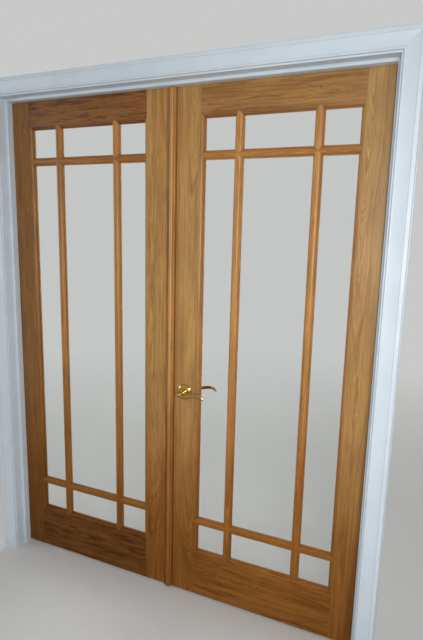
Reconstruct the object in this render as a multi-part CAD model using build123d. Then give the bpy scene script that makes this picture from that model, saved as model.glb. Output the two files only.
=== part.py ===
from build123d import *
import os

# A pair of french doors in their frame: two nine-lite pine leaves hung on butt hinges, a moulded strip on
# the meeting edge of the left leaf, and a brass lever set on the right leaf.
# X runs across the opening from its middle, Z up from the floor. Y = 0 is the face of the closed leaves on
# the stop side, and the leaves open towards +Y. All sizes are in millimetres.

# Leaves
leaf_width = 762.0
leaf_height = 2032.0
leaf_thick = 35.0
stile_face = 94.5
top_rail_face = 105.0
bottom_rail_face = 184.0
side_lite = 146.0
end_lite = 143.0
bar_flat = 4.0
bar_lap_depth = 25.0
tenon_thick = 12.0
tenon_length = 60.0
tenon_shoulder = 20.0
cope_overrun = 10.0

# Moulding worked on the glass side of every member
quirk = 1.5
ovolo = 11.5
fillet_step = 2.5
glass_front = 15.0
rebate = 12.0

# Glass and the beads that hold it
glass_thick = 4.0
pane_gap = 1.5
bead_setback = 1.5
bead_splay = 8.0

# Gaps round and between the leaves
side_gap = 3.0
head_gap = 3.0
floor_gap = 10.0
meeting_gap = 3.5

# Moulded strip on the meeting edge
strip_width = 32.0
strip_shoulder = 6.0
strip_shoulder_proud = 8.0
strip_bead_proud = 14.0
strip_groove = 1.2
strip_top_gap = 2.0

# Jambs, stops and casings
jamb_thick = 19.0
jamb_front = 73.0
jamb_housing = 10.0
jamb_arris = 1.0
stop_thick = 11.0
stop_width = 32.0
stop_gap = 1.0
stop_round = 6.0
casing_width = 60.0
casing_thick = 17.0
casing_reveal = 6.0
casing_inner_thick = 8.0
casing_bead = 8.0
casing_band = 14.0
casing_round = 2.5

# Butt hinges
hinge_height = 102.0
hinge_reach = 38.0
hinge_plate_thick = 2.5
hinge_corner = 8.0
hinge_pin_throw = 8.0
hinge_barrel_radius = 5.8
hinge_pin_radius = 3.0
hinge_pin_fit = 0.05
hinge_knuckles = 5
hinge_knuckle_gap = 0.3
hinge_notch_gap = 0.6
hinge_button = 3.5
hinge_top_drop = 178.0
hinge_bottom_rise = 279.0
screw_radius = 2.3
screw_head_radius = 4.4
screw_pitch = 34.0
screw_stagger = 7.0

# Lever set
lever_height = 890.0
lever_backset = 44.5
lever_reach = 52.0
lever_length = 103.0
lever_dip_at = 28.0
lever_dip = 4.0
lever_crest_at = 72.0
lever_crest = 7.0
lever_turn_at = 92.0
lever_turn_rise = 4.0
lever_curl = 7.0
lever_half_thick = 4.8
lever_half_height = 6.6
# Along the arm: how far, then how thick and how tall it is there, all as shares
lever_sections = (
    (0.0, 0.98, 0.9),
    (0.3, 0.92, 0.85),
    (0.65, 0.92, 1.0),
    (0.88, 0.8, 0.78),
    (1.0, 0.5, 0.4),
)
lever_neck_radius = 10.0
lever_neck_ring = 2.0
lever_neck_cove = 6.0
lever_neck_waist = 7.2
lever_neck_flare = 0.6
lever_neck_dome = 4.2
lever_neck_gap = 0.3
rosette_radius = 32.5
rosette_rise = 9.5
rosette_wall = 2.0
rosette_rim = 2.0
rosette_step_in = 3.5
rosette_step_rise = 1.7
rosette_crown = 1.5
spindle_side = 8.0
spindle_fit = 0.05
spindle_inset = 16.0
cross_bore_radius = 27.0

# Latch
edge_bore_radius = 12.5
latch_case_radius = 12.2
latch_case_past_bore = 16.0
latch_plate_length = 57.0
latch_plate_width = 25.0
latch_plate_thick = 2.0
latch_bolt_wide = 12.0
latch_bolt_tall = 14.0
latch_bolt_long = 29.0
latch_bolt_proud = 1.5
latch_bolt_bevel = 7.0
latch_bolt_gap = 0.3
hub_radius = 7.0
hub_gap = 0.3
hub_half_length = 8.0
keeper_hole_gap = 2.0
keeper_pocket = 12.0
fixing_radius = 1.9
fixing_head_radius = 3.6
fixing_inset = 6.5

# Flush bolt in the strip
flush_plate_length = 120.0
flush_plate_thick = 2.0
flush_case_length = 92.0
flush_case_width = 19.0
flush_case_depth = 16.0
flush_case_wall = 1.5
flush_case_drop = 74.0
flush_rod_radius = 4.0
flush_rod_fit = 0.05
flush_rod_inset = 10.0
flush_rod_top_gap = 2.0
flush_throw = 15.0
flush_slide_gap = 0.3
flush_slide_long = 30.0
flush_nib_width = 9.0
flush_nib_long = 14.0
head_plate_length = 60.0
head_plate_width = 19.0
head_plate_thick = 2.0
head_plate_hole_gap = 1.0
head_hole_spare = 2.0

# Places that follow from the sizes above
opening_half = leaf_width + side_gap + (strip_width + meeting_gap) / 2
leaf_bottom = floor_gap
leaf_top = leaf_bottom + leaf_height
head_z = leaf_top + head_gap
leaf_outer = -opening_half + side_gap
leaf_inner = leaf_outer + leaf_width
leaf_middle = leaf_outer + leaf_width / 2
strip_edge = leaf_inner + strip_width
strip_middle = leaf_inner + strip_width / 2
moulding = ovolo + fillet_step
rib = bar_flat + 2 * (moulding - rebate)
glass_back = glass_front + glass_thick
field_left = leaf_outer + stile_face
field_right = leaf_inner - stile_face
field_bottom = leaf_bottom + bottom_rail_face
field_top = leaf_top - top_rail_face
pin_x = -opening_half + side_gap / 2
pin_y = leaf_thick + hinge_pin_throw
knuckle = (hinge_height - (hinge_knuckles - 1) * hinge_knuckle_gap) / hinge_knuckles
lever_x = -leaf_inner + lever_backset
leaf_mid_y = leaf_thick / 2
flush_x = strip_edge - flush_rod_inset
flush_case_top = leaf_top - flush_case_drop
flush_case_bottom = flush_case_top - flush_case_length
hinge_heights = {
    "bottom": leaf_bottom + hinge_bottom_rise + hinge_height / 2,
    "top": leaf_top - hinge_top_drop - hinge_height / 2,
}
hinge_heights["middle"] = (hinge_heights["bottom"] + hinge_heights["top"]) / 2


# Shared shaping helpers

def block(x_span, y_span, z_span):
    """A box between two corners, given as a low and a high value along each axis."""
    size = [high - low for low, high in (x_span, y_span, z_span)]
    middle = [(high + low) / 2 for low, high in (x_span, y_span, z_span)]
    return Pos(*middle) * Box(*size)


def closed(*lines):
    """The face inside a ring of lines."""
    ring = Curve() + list(lines)
    return make_face(ring.edges())


def rounded_plate(width, height, radius, thick):
    """A flat plate in X and Y with round corners, from Z = 0 up."""
    return extrude(RectangleRounded(width, height, radius), thick)


def flipped(solid):
    """The same piece on the other side of the middle of the opening."""
    return mirror(solid, about=Plane.YZ)


def laid_up(stick):
    """Turns an upright member so that its glass side faces up and its length runs towards -X."""
    return Rot(0, -90, 0) * stick


def laid_down(stick):
    """Turns an upright member so that its glass side faces down and its length runs towards +X."""
    return Rot(0, 90, 0) * stick


# Leaf members

def member(face_width, length):
    """A stile or rail, upright: flat face, quirk, ovolo and fillet, with the glass rebate behind."""
    floor_y = quirk + ovolo
    inner = face_width + moulding
    wall = inner - rebate
    face = Polyline((0, leaf_thick), (0, 0), (face_width, 0), (face_width, quirk))
    ovolo_arc = CenterArc((face_width, floor_y), ovolo, -90, 90)
    back = Polyline(
        (face_width + ovolo, floor_y),
        (inner, floor_y),
        (inner, glass_front),
        (wall, glass_front),
        (wall, leaf_thick),
        (0, leaf_thick),
    )
    return extrude(closed(face, ovolo_arc, back), length)


def glazing_bar(length):
    """A bar, upright about its own middle: a narrow flat between two ovolos, and a rib behind the glass."""
    flat = bar_flat / 2
    floor_y = quirk + ovolo
    edge = flat + moulding
    front = Polyline((-flat, quirk), (-flat, 0), (flat, 0), (flat, quirk))
    right_arc = CenterArc((flat, floor_y), ovolo, -90, 90)
    left_arc = CenterArc((-flat, floor_y), ovolo, 180, 90)
    back = Polyline(
        (flat + ovolo, floor_y),
        (edge, floor_y),
        (edge, glass_front),
        (rib / 2, glass_front),
        (rib / 2, leaf_thick),
        (-rib / 2, leaf_thick),
        (-rib / 2, glass_front),
        (-edge, glass_front),
        (-edge, floor_y),
        (-flat - ovolo, floor_y),
    )
    return extrude(closed(front, right_arc, left_arc, back), length)


def tenons(low, high):
    """Tenons of a rail, one into each stile, between two heights."""
    y_span = (leaf_mid_y - tenon_thick / 2, leaf_mid_y + tenon_thick / 2)
    left = block((field_left - tenon_length, field_left + moulding), y_span, (low, high))
    right = block((field_right - moulding, field_right + tenon_length), y_span, (low, high))
    return left, right


def leaf_timber():
    """Stiles, rails and bars of the left leaf, coped where they meet and halved where bars cross."""
    stile = Pos(leaf_outer, 0, leaf_bottom) * member(stile_face, leaf_height)
    inner_stile = mirror(stile, about=Plane.YZ.offset(leaf_middle))
    span = field_right - field_left + 2 * cope_overrun
    start = field_left - cope_overrun
    bottom = Pos(start + span, 0, leaf_bottom) * laid_up(member(bottom_rail_face, span))
    top = Pos(start, 0, leaf_top) * laid_down(member(top_rail_face, span))
    bottom_tenons = tenons(leaf_bottom + tenon_shoulder, field_bottom - tenon_shoulder / 2)
    top_tenons = tenons(field_top + tenon_shoulder / 2, leaf_top - tenon_shoulder)
    bottom = bottom - stile - inner_stile + bottom_tenons[0] + bottom_tenons[1]
    top = top - stile - inner_stile + top_tenons[0] + top_tenons[1]
    upright = glazing_bar(field_top - field_bottom + 2 * cope_overrun)
    level = glazing_bar(span)
    bar_xs = (field_left + side_lite, field_right - side_lite)
    bar_zs = (field_bottom + end_lite, field_top - end_lite)
    notches = [
        block((x - rib, x + rib), (bar_lap_depth, leaf_thick), (z - rib / 2, z + rib / 2))
        for x in bar_xs
        for z in bar_zs
    ]
    uprights = [Pos(x, 0, field_bottom - cope_overrun) * upright - bottom - top - notches for x in bar_xs]
    levels = [Pos(start, 0, z) * laid_down(level) - stile - inner_stile - uprights for z in bar_zs]
    return {
        "hinge_stile": stile - bottom_tenons[0] - top_tenons[0],
        "meeting_stile": inner_stile - bottom_tenons[1] - top_tenons[1],
        "top_rail": top,
        "bottom_rail": bottom,
        "outer_bar": uprights[0],
        "inner_bar": uprights[1],
        "upper_bar": levels[1],
        "lower_bar": levels[0],
    }


def lites():
    """The nine rebated openings of the left leaf, as spans in X and Z."""
    edge = moulding - rebate
    xs = (field_left + side_lite, field_right - side_lite)
    zs = (field_bottom + end_lite, field_top - end_lite)
    columns = (
        (field_left + edge, xs[0] - rib / 2),
        (xs[0] + rib / 2, xs[1] - rib / 2),
        (xs[1] + rib / 2, field_right - edge),
    )
    rows = (
        (field_bottom + edge, zs[0] - rib / 2),
        (zs[0] + rib / 2, zs[1] - rib / 2),
        (zs[1] + rib / 2, field_top - edge),
    )
    return [(column, row) for row in rows for column in columns]


def pane(x_span, z_span):
    """One sheet of glass, a little smaller than its rebate."""
    width = (x_span[0] + pane_gap, x_span[1] - pane_gap)
    height = (z_span[0] + pane_gap, z_span[1] - pane_gap)
    return block(width, (glass_front, glass_back), height)


def bead_stick(length):
    """A splayed glazing bead, upright, with its glass side at Y = 0 and its wall side at X = 0."""
    depth = leaf_thick - bead_setback - glass_back
    outline = Polyline(
        (0, 0),
        (rebate, 0),
        (rebate, depth - bead_splay),
        (rebate - bead_splay, depth),
        (0, depth),
        (0, 0),
    )
    return extrude(make_face(outline.edges()), length)


def pane_beads(x_span, z_span):
    """Two upright and two level mitred beads round one sheet of glass."""
    width = x_span[1] - x_span[0]
    height = z_span[1] - z_span[0]
    rising = Plane(origin=(0, 0, 0), z_dir=(-1, 0, 1))
    side_low = split(bead_stick(height), bisect_by=rising, keep=Keep.TOP)
    falling = Plane(origin=(0, 0, height), z_dir=(1, 0, 1))
    side = split(side_low, bisect_by=falling, keep=Keep.BOTTOM)
    end_low = split(Pos(width, 0, 0) * laid_up(bead_stick(width)), bisect_by=rising, keep=Keep.BOTTOM)
    end_cut = Plane(origin=(width, 0, 0), z_dir=(1, 0, 1))
    end = split(end_low, bisect_by=end_cut, keep=Keep.BOTTOM)
    across = Plane.YZ.offset(width / 2)
    over = Plane.XY.offset(height / 2)
    place = Pos(x_span[0], glass_back, z_span[0])
    upright = [place * side, place * mirror(side, about=across)]
    return upright, [place * end, place * mirror(end, about=over)]


# Hinges

def knuckle_span(index):
    """Low and high Z of one knuckle, from the middle of the hinge."""
    low = -hinge_height / 2 + index * (knuckle + hinge_knuckle_gap)
    return low, low + knuckle


def hinge_blank(side):
    """The flat plate of a hinge leaf, beside the pin axis on the -X or +X side, before it is notched."""
    plate = rounded_plate(hinge_reach * 2, hinge_height, hinge_corner, hinge_plate_thick)
    upright_plate = Plane.YZ * plate
    half = hinge_height / 2
    kept = upright_plate & block((0, hinge_plate_thick), (-hinge_reach, 0), (-half, half))
    inner_face = side_gap / 2 if side > 0 else -side_gap / 2 - hinge_plate_thick
    return Pos(inner_face, 0, 0) * kept


def countersink(head, radius, thick):
    """A countersunk hole from a plate's face at Z = 0, wide there, through its thickness."""
    depth = head - radius
    cone = Pos(0, 0, depth / 2) * Cone(head, radius, depth)
    return cone + extrude(Circle(radius), thick)


def screw_hole(side, y, z):
    """A countersunk hole through a hinge plate, wide at the face between the leaves."""
    hole = countersink(screw_head_radius, screw_radius, hinge_plate_thick)
    return Pos(side * side_gap / 2, y, z) * Rot(0, side * 90, 0) * hole


def hinge_leaf(side, own):
    """One leaf of a butt hinge about a pin on the Z axis, with its own knuckles."""
    leaf = hinge_blank(side)
    reach = hinge_barrel_radius + hinge_notch_gap
    for index in range(hinge_knuckles):
        low, high = knuckle_span(index)
        if index in own:
            leaf = leaf + Pos(0, 0, low) * extrude(Circle(hinge_barrel_radius), high - low)
        else:
            room = (low - hinge_knuckle_gap, high + hinge_knuckle_gap)
            leaf = leaf - block((-reach, reach), (-reach, reach), room)
    leaf = leaf - Cylinder(hinge_pin_radius + hinge_pin_fit, hinge_height)
    plate_middle = -(hinge_reach + reach) / 2
    for step in (-1, 0, 1):
        y = plate_middle + (screw_stagger if step == 0 else -screw_stagger)
        leaf = leaf - screw_hole(side, y, step * screw_pitch)
    return leaf


def hinge_pin():
    """A hinge pin with a domed button on each end."""
    half = hinge_height / 2
    button = (hinge_barrel_radius ** 2 + hinge_button ** 2) / (2 * hinge_button)
    dome = Pos(0, 0, half + hinge_button - button) * Sphere(button)
    reach = hinge_barrel_radius
    top = dome & block((-reach, reach), (-reach, reach), (half, half + hinge_button))
    return Cylinder(hinge_pin_radius, hinge_height) + top + mirror(top, about=Plane.XY)


# Frame

def jamb_stick(length):
    """A jamb, upright, with its face to the opening at X = 0 and its thickness towards +X."""
    outline = Polyline(
        (jamb_arris, -jamb_front),
        (jamb_thick, -jamb_front),
        (jamb_thick, leaf_thick),
        (jamb_arris, leaf_thick),
        (0, leaf_thick - jamb_arris),
        (0, jamb_arris - jamb_front),
        (jamb_arris, -jamb_front),
    )
    return extrude(make_face(outline.edges()), length)


def stop_section():
    """Section of the stop: its free edge at X = 0, the front corner there rounded."""
    rear = -stop_gap
    front = rear - stop_width
    body = Polyline(
        (0, front + stop_round),
        (0, rear),
        (stop_thick, rear),
        (stop_thick, front),
        (stop_round, front),
    )
    corner = CenterArc((stop_round, front + stop_round), stop_round, 180, 90)
    return closed(body, corner)


def casing_section():
    """Section of the casing: a bead on the thin inner edge, a long cove, and a thick band outside."""
    thin = casing_inner_thick
    cove_start = casing_bead + 1
    cove_end = casing_width - casing_band
    shoulder = casing_thick - casing_round
    bead_top = thin + quirk
    inner = Polyline((casing_width, 0), (0, 0), (0, thin - casing_bead / 4))
    bead = ThreePointArc((0, thin - casing_bead / 4), (casing_bead / 2, bead_top), (casing_bead, thin))
    step = Line((casing_bead, thin), (cove_start, thin))
    cove_middle = ((cove_start + cove_end) / 2, thin + (shoulder - thin) / 4)
    cove = ThreePointArc((cove_start, thin), cove_middle, (cove_end, shoulder))
    crown_start = shoulder + quirk / 2
    crown_radius = casing_thick - crown_start
    rise = Line((cove_end, shoulder), (cove_end, crown_start))
    crown = CenterArc((cove_end + crown_radius, crown_start), crown_radius, 90, 90)
    crown_end = (cove_end + crown_radius, casing_thick)
    band = Line(crown_end, (casing_width - casing_round, casing_thick))
    corner = CenterArc((casing_width - casing_round, shoulder), casing_round, 0, 90)
    outer = Line((casing_width, shoulder), (casing_width, 0))
    return closed(inner, bead, step, cove, rise, crown, band, corner, outer)


def surround(section, inner_half, inner_top, width):
    """Left, right and head pieces round the opening, mitred at the top corners."""
    outer_half = inner_half + width
    mitre = Plane(origin=(inner_half, 0, inner_top), z_dir=(-1, 0, 1))
    leg = Pos(inner_half, 0, 0) * extrude(section, inner_top + width)
    right = split(leg, bisect_by=mitre, keep=Keep.BOTTOM)
    rail = Pos(outer_half, 0, inner_top) * laid_up(extrude(section, 2 * outer_half))
    half_cut = split(rail, bisect_by=mitre, keep=Keep.TOP)
    other_mitre = Plane(origin=(-inner_half, 0, inner_top), z_dir=(1, 0, 1))
    head = split(half_cut, bisect_by=other_mitre, keep=Keep.TOP)
    return flipped(right), right, head


def frame_pieces():
    """Jambs housed together at the head, with their stops and the casings of both sides."""
    jamb_top = head_z + jamb_thick
    right = Pos(opening_half, 0, 0) * jamb_stick(jamb_top)
    half = opening_half + jamb_housing
    head = Pos(half, 0, head_z) * laid_up(jamb_stick(2 * half))
    right = right - head
    stops = surround(stop_section(), opening_half - stop_thick, head_z - stop_thick, stop_thick)
    inner_half = opening_half + casing_reveal
    inner_top = head_z + casing_reveal
    section = casing_section()
    back_section = Pos(0, leaf_thick, 0) * section
    front_section = Pos(0, -jamb_front, 0) * mirror(section, about=Plane.XZ)
    back = surround(back_section, inner_half, inner_top, casing_width)
    front = surround(front_section, inner_half, inner_top, casing_width)
    return {
        "left_jamb": flipped(right),
        "right_jamb": right,
        "head_jamb": head,
        "left_stop": stops[0],
        "right_stop": stops[1],
        "head_stop": stops[2],
        "front_left_casing": front[0],
        "front_right_casing": front[1],
        "front_head_casing": front[2],
        "back_left_casing": back[0],
        "back_right_casing": back[1],
        "back_head_casing": back[2],
    }


# Meeting strip and flush bolt

def strip_moulding():
    """Section of the strip in front of the leaves: a shoulder, a half-round bead and a shoulder."""
    left = leaf_inner
    right = strip_edge
    bead_left = left + strip_shoulder + strip_groove
    bead_right = right - strip_shoulder - strip_groove
    shoulder_y = -strip_shoulder_proud
    groove_y = shoulder_y + strip_groove
    start = Polyline(
        (right - strip_shoulder, groove_y),
        (right - strip_shoulder, shoulder_y),
        (right, shoulder_y),
        (right, 0),
        (left, 0),
        (left, shoulder_y),
        (left + strip_shoulder, shoulder_y),
        (left + strip_shoulder, groove_y),
        (bead_left, groove_y),
    )
    bead = ThreePointArc((bead_left, groove_y), (strip_middle, -strip_bead_proud), (bead_right, groove_y))
    finish = Line((bead_right, groove_y), (right - strip_shoulder, groove_y))
    return closed(start, bead, finish)


def flush_box():
    """The outside of the flush bolt's case, without its plate."""
    half = flush_case_width / 2
    return block(
        (strip_edge - flush_case_depth, strip_edge),
        (leaf_mid_y - half, leaf_mid_y + half),
        (flush_case_bottom, flush_case_top),
    )


def flush_plate(holes=True):
    """The plate of the flush bolt, flush in the edge of the strip."""
    plate = edge_plate(flush_plate_length, flush_case_width, flush_plate_thick, holes)
    return Pos(strip_edge, leaf_mid_y, (flush_case_bottom + flush_case_top) / 2) * plate


def flush_case():
    """Case of the flush bolt: a plate with a thumb slot, and a box behind it."""
    wall = flush_case_wall
    half = flush_case_width / 2 - wall
    room = block(
        (strip_edge - flush_case_depth + wall, strip_edge - flush_plate_thick),
        (leaf_mid_y - half, leaf_mid_y + half),
        (flush_case_bottom + wall, flush_case_top - wall),
    )
    slot_half = flush_nib_width / 2 + flush_slide_gap
    slot_low = flush_slide_bottom() + (flush_slide_long - flush_nib_long) / 2 - flush_slide_gap
    slot_high = slot_low + flush_nib_long + flush_throw + 2 * flush_slide_gap
    slot = block(
        (strip_edge - flush_plate_thick, strip_edge),
        (leaf_mid_y - slot_half, leaf_mid_y + slot_half),
        (slot_low, slot_high),
    )
    rod_hole = Cylinder(flush_rod_radius + flush_rod_fit, flush_case_length)
    case = flush_box() + flush_plate()
    return case - room - slot - Pos(flush_x, leaf_mid_y, flush_case_top) * rod_hole


def flush_slide_bottom():
    """Height of the slider's lower end with the bolt drawn back."""
    return flush_case_bottom + flush_case_length / 2 - flush_slide_long / 2


def flush_rod():
    """The rod of the flush bolt with its slider and thumb nib, drawn back."""
    low = flush_slide_bottom()
    high = leaf_top - flush_rod_top_gap
    rod = Pos(flush_x, leaf_mid_y, low) * extrude(Circle(flush_rod_radius), high - low)
    tip = rod.edges().filter_by(GeomType.CIRCLE).sort_by(Axis.Z)[-1]
    rod = chamfer(tip, flush_rod_radius / 4)
    half = flush_case_width / 2 - flush_case_wall - flush_slide_gap
    x_low = strip_edge - flush_case_depth + flush_case_wall + flush_slide_gap
    x_high = strip_edge - flush_plate_thick - flush_slide_gap
    slider = block((x_low, x_high), (leaf_mid_y - half, leaf_mid_y + half), (low, low + flush_slide_long))
    nib_low = low + (flush_slide_long - flush_nib_long) / 2
    nib_y = (leaf_mid_y - flush_nib_width / 2, leaf_mid_y + flush_nib_width / 2)
    nib = block((x_high, strip_edge - flush_slide_gap), nib_y, (nib_low, nib_low + flush_nib_long))
    return rod + slider + nib


def face_plate(length, width, thick, holes=True):
    """A plate lying on Z = 0 along X, with a countersunk hole near each end."""
    plate = rounded_plate(length, width, width / 4, thick)
    if holes:
        hole = countersink(fixing_head_radius, fixing_radius, thick)
        reach = length / 2 - fixing_inset
        plate = plate - Pos(-reach, 0, 0) * hole - Pos(reach, 0, 0) * hole
    return plate


def edge_plate(length, width, thick, holes=True):
    """A face plate let into an upright edge: its outer face at X = 0, its back towards -X."""
    return Rot(0, -90, 0) * face_plate(length, width, thick, holes)


def keeper_blank(holes=True):
    """Strike plate for the latch, flush in the edge of the strip, before the bolt's hole is cut."""
    plate = edge_plate(latch_plate_length, latch_plate_width, latch_plate_thick, holes)
    return Pos(strip_edge, leaf_mid_y, lever_height) * plate


def keeper_room(depth):
    """The room that the latch bolt needs behind the edge of the strip."""
    half_wide = latch_bolt_wide / 2 + keeper_hole_gap
    half_tall = latch_bolt_tall / 2 + keeper_hole_gap
    return block(
        (strip_edge - depth, strip_edge),
        (leaf_mid_y - half_wide, leaf_mid_y + half_wide),
        (lever_height - half_tall, lever_height + half_tall),
    )


def meeting_strip():
    """The strip on the meeting edge of the left leaf, cut for the keeper and the flush bolt."""
    body = block((leaf_inner, strip_edge), (0, leaf_thick), (leaf_bottom, leaf_top))
    moulding_top = head_z - stop_thick - strip_top_gap
    front = Pos(0, 0, leaf_bottom) * extrude(strip_moulding(), moulding_top - leaf_bottom)
    channel = extrude(Circle(flush_rod_radius + flush_rod_fit), flush_case_drop)
    strip = body + front - keeper_blank(False) - keeper_room(keeper_pocket)
    strip = strip - flush_box() - flush_plate(False)
    return strip - Pos(flush_x, leaf_mid_y, flush_case_top) * channel


def head_plate():
    """Plate in the underside of the head jamb that receives the flush bolt."""
    plate = face_plate(head_plate_length, head_plate_width, head_plate_thick)
    hole = Cylinder(flush_rod_radius + head_plate_hole_gap, 4 * head_plate_thick)
    return Pos(flush_x, leaf_mid_y, head_z) * (plate - hole)


def head_cuts():
    """What the head jamb loses to that plate and to the thrown bolt."""
    plate = face_plate(head_plate_length, head_plate_width, head_plate_thick, False)
    depth = flush_throw - head_gap - flush_rod_top_gap + head_hole_spare
    bore = extrude(Circle(flush_rod_radius + head_plate_hole_gap), depth)
    return Pos(flush_x, leaf_mid_y, head_z) * (plate + bore)


# Latch and lever set, on the right leaf

def latch_plate(holes=True):
    """Face plate of the latch, flush in the meeting edge of the right leaf."""
    plate = flipped(edge_plate(latch_plate_length, latch_plate_width, latch_plate_thick, holes))
    return Pos(-leaf_inner, leaf_mid_y, lever_height) * plate


def latch_housing():
    """Face plate and round case of the latch, bored for its bolt and its hub."""
    start = -leaf_inner + latch_plate_thick
    length = lever_x + latch_case_past_bore - start
    tube = Plane.YZ * extrude(Circle(latch_case_radius), length)
    case = latch_plate() + Pos(start, leaf_mid_y, lever_height) * tube
    half_wide = latch_bolt_wide / 2 + latch_bolt_gap
    half_tall = latch_bolt_tall / 2 + latch_bolt_gap
    way = block(
        (-leaf_inner, lever_x),
        (leaf_mid_y - half_wide, leaf_mid_y + half_wide),
        (lever_height - half_tall, lever_height + half_tall),
    )
    hub_way = Rot(90, 0, 0) * Cylinder(hub_radius + hub_gap, 4 * latch_case_radius)
    return case - way - Pos(lever_x, leaf_mid_y, lever_height) * hub_way


def latch_bolt():
    """Spring latch bolt, bevelled on the side that meets the keeper first as the leaf closes."""
    nose = -leaf_inner - latch_bolt_proud
    outline = Polyline(
        (nose, leaf_mid_y + latch_bolt_wide / 2),
        (nose, leaf_mid_y + latch_bolt_wide / 2 - (latch_bolt_wide - latch_bolt_bevel)),
        (nose + latch_bolt_bevel, leaf_mid_y - latch_bolt_wide / 2),
        (nose + latch_bolt_long, leaf_mid_y - latch_bolt_wide / 2),
        (nose + latch_bolt_long, leaf_mid_y + latch_bolt_wide / 2),
        (nose, leaf_mid_y + latch_bolt_wide / 2),
    )
    bolt = extrude(make_face(outline.edges()), latch_bolt_tall)
    return Pos(0, 0, lever_height - latch_bolt_tall / 2) * bolt


def spindle_square(length, side):
    """A square bar along Y, centred on the leaf's middle."""
    return Pos(lever_x, leaf_mid_y, lever_height) * Box(side, length, side)


def latch_hub():
    """The hub that the spindle turns inside the latch."""
    hub = Pos(lever_x, leaf_mid_y, lever_height) * Rot(90, 0, 0) * Cylinder(hub_radius, 2 * hub_half_length)
    return hub - spindle_square(4 * latch_case_radius, spindle_side)


def on_spindle(turned):
    """Stands a piece turned about Z on the stop-side face of the right leaf, at the spindle."""
    return Pos(lever_x, 0, lever_height) * Rot(90, 0, 0) * turned


def rosette():
    """The round rose: a rounded rim, a step, a domed face and a collar, hollow behind."""
    collar = lever_neck_radius + lever_neck_gap
    lip = collar + rosette_wall
    step = rosette_radius - rosette_step_in
    step_top = rosette_rim + rosette_step_rise
    hollow = step - rosette_wall
    inside = Polyline(
        (collar, rosette_rise),
        (collar, 0),
        (lip, 0),
        (lip, rosette_rise - 2 * rosette_wall),
        (hollow, rosette_rim / 2),
        (hollow, 0),
        (rosette_radius, 0),
        (rosette_radius, rosette_rim),
    )
    rim = CenterArc((rosette_radius - rosette_step_rise, rosette_rim), rosette_step_rise, 0, 90)
    ledge = Line((rosette_radius - rosette_step_rise, step_top), (step, step_top))
    dome_foot = lip + rosette_crown
    dome_rise = rosette_rise - step_top
    dome = EllipticalCenterArc((dome_foot, step_top), step - dome_foot, dome_rise, 0, arc_size=90)
    top = Line((dome_foot, rosette_rise), (collar, rosette_rise))
    return on_spindle(revolve(Plane.XZ * closed(inside, rim, ledge, dome, top), Axis.Z, 360))


def lever_neck():
    """The turned neck of the lever, from inside the rose to a domed end."""
    start = lever_neck_gap
    ring_top = rosette_rise + lever_neck_ring
    waist = ring_top + lever_neck_cove
    end_radius = lever_neck_waist + lever_neck_flare
    arm_middle = lever_reach - lever_half_thick
    end = arm_middle + lever_neck_dome
    foot = Polyline((0, end), (0, start), (lever_neck_radius, start), (lever_neck_radius, ring_top))
    cove_width = lever_neck_radius - lever_neck_waist
    cove = EllipticalCenterArc((lever_neck_radius, waist), cove_width, lever_neck_cove, 180, arc_size=90)
    shank = Line((lever_neck_waist, waist), (end_radius, arm_middle))
    dome = EllipticalCenterArc((0, arm_middle), end_radius, lever_neck_dome, 0, arc_size=90)
    return revolve(Plane.XZ * closed(foot, cove, shank, dome), Axis.Z, 360)


def lever_arm():
    """The wave-shaped arm: a dip by the neck, a crest, and a curled end."""
    route = Spline(
        (0, 0, 0),
        (lever_dip_at, 0, -lever_dip),
        (lever_crest_at, 0, lever_crest),
        (lever_turn_at, 0, lever_turn_rise),
        (lever_length, 0, -lever_curl),
    )
    sections = []
    for station, thick, height in lever_sections:
        spot = Plane(origin=route @ station, z_dir=route % station, x_dir=(0, 1, 0))
        sections.append(spot * Ellipse(lever_half_thick * thick, lever_half_height * height))
    return loft(sections)


def lever():
    """The lever on the stop side: neck and arm in one casting, with a square hole for the spindle."""
    arm_y = lever_half_thick - lever_reach
    neck = on_spindle(lever_neck())
    arm = Pos(lever_x, arm_y, lever_height) * lever_arm()
    spindle_length = leaf_thick + 2 * (lever_reach - spindle_inset)
    return neck + arm - spindle_square(spindle_length, spindle_side + 2 * spindle_fit)


def spindle():
    """The square bar through both levers and the hub."""
    length = leaf_thick + 2 * (lever_reach - spindle_inset)
    return spindle_square(length - 2 * spindle_fit, spindle_side)


def stile_bores():
    """The cross bore, the edge bore and the face plate's recess in the right leaf's meeting stile."""
    cross = Rot(90, 0, 0) * Cylinder(cross_bore_radius, 2 * leaf_thick)
    depth = lever_backset + latch_case_past_bore + hub_gap
    edge = Plane.YZ * extrude(Circle(edge_bore_radius), depth)
    place = (lever_x, leaf_mid_y, lever_height)
    return [Pos(*place) * cross, Pos(-leaf_inner, leaf_mid_y, lever_height) * edge, latch_plate(False)]


# Assembly of the nodes

def hung_leaf(side, timber):
    """Nodes of one leaf and its hinges; side is "left" or "right", and right is the mirror of left."""
    turn = flipped if side == "right" else (lambda solid: solid)
    jamb_leaf = hinge_leaf(-1, (0, 2, 4))
    door_leaf = hinge_leaf(1, (1, 3))
    nodes = {}
    for name, height in hinge_heights.items():
        place = Pos(pin_x, pin_y, height)
        nodes[f"{side}_{name}_hinge_jamb_leaf"] = turn(place * jamb_leaf)
        nodes[f"{side}_{name}_hinge_door_leaf"] = turn(place * door_leaf)
        timber["hinge_stile"] = timber["hinge_stile"] - place * hinge_blank(1)
    for name, solid in timber.items():
        nodes[f"{side}_{name}"] = turn(solid)
    nodes[f"{side}_glass_panes"] = [turn(pane(*lite)) for lite in lites()]
    upright, level = [], []
    for lite in lites():
        sides, ends = pane_beads(*lite)
        upright += [turn(bead) for bead in sides]
        level += [turn(bead) for bead in ends]
    nodes[f"{side}_upright_beads"] = upright
    nodes[f"{side}_level_beads"] = level
    return nodes


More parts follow.
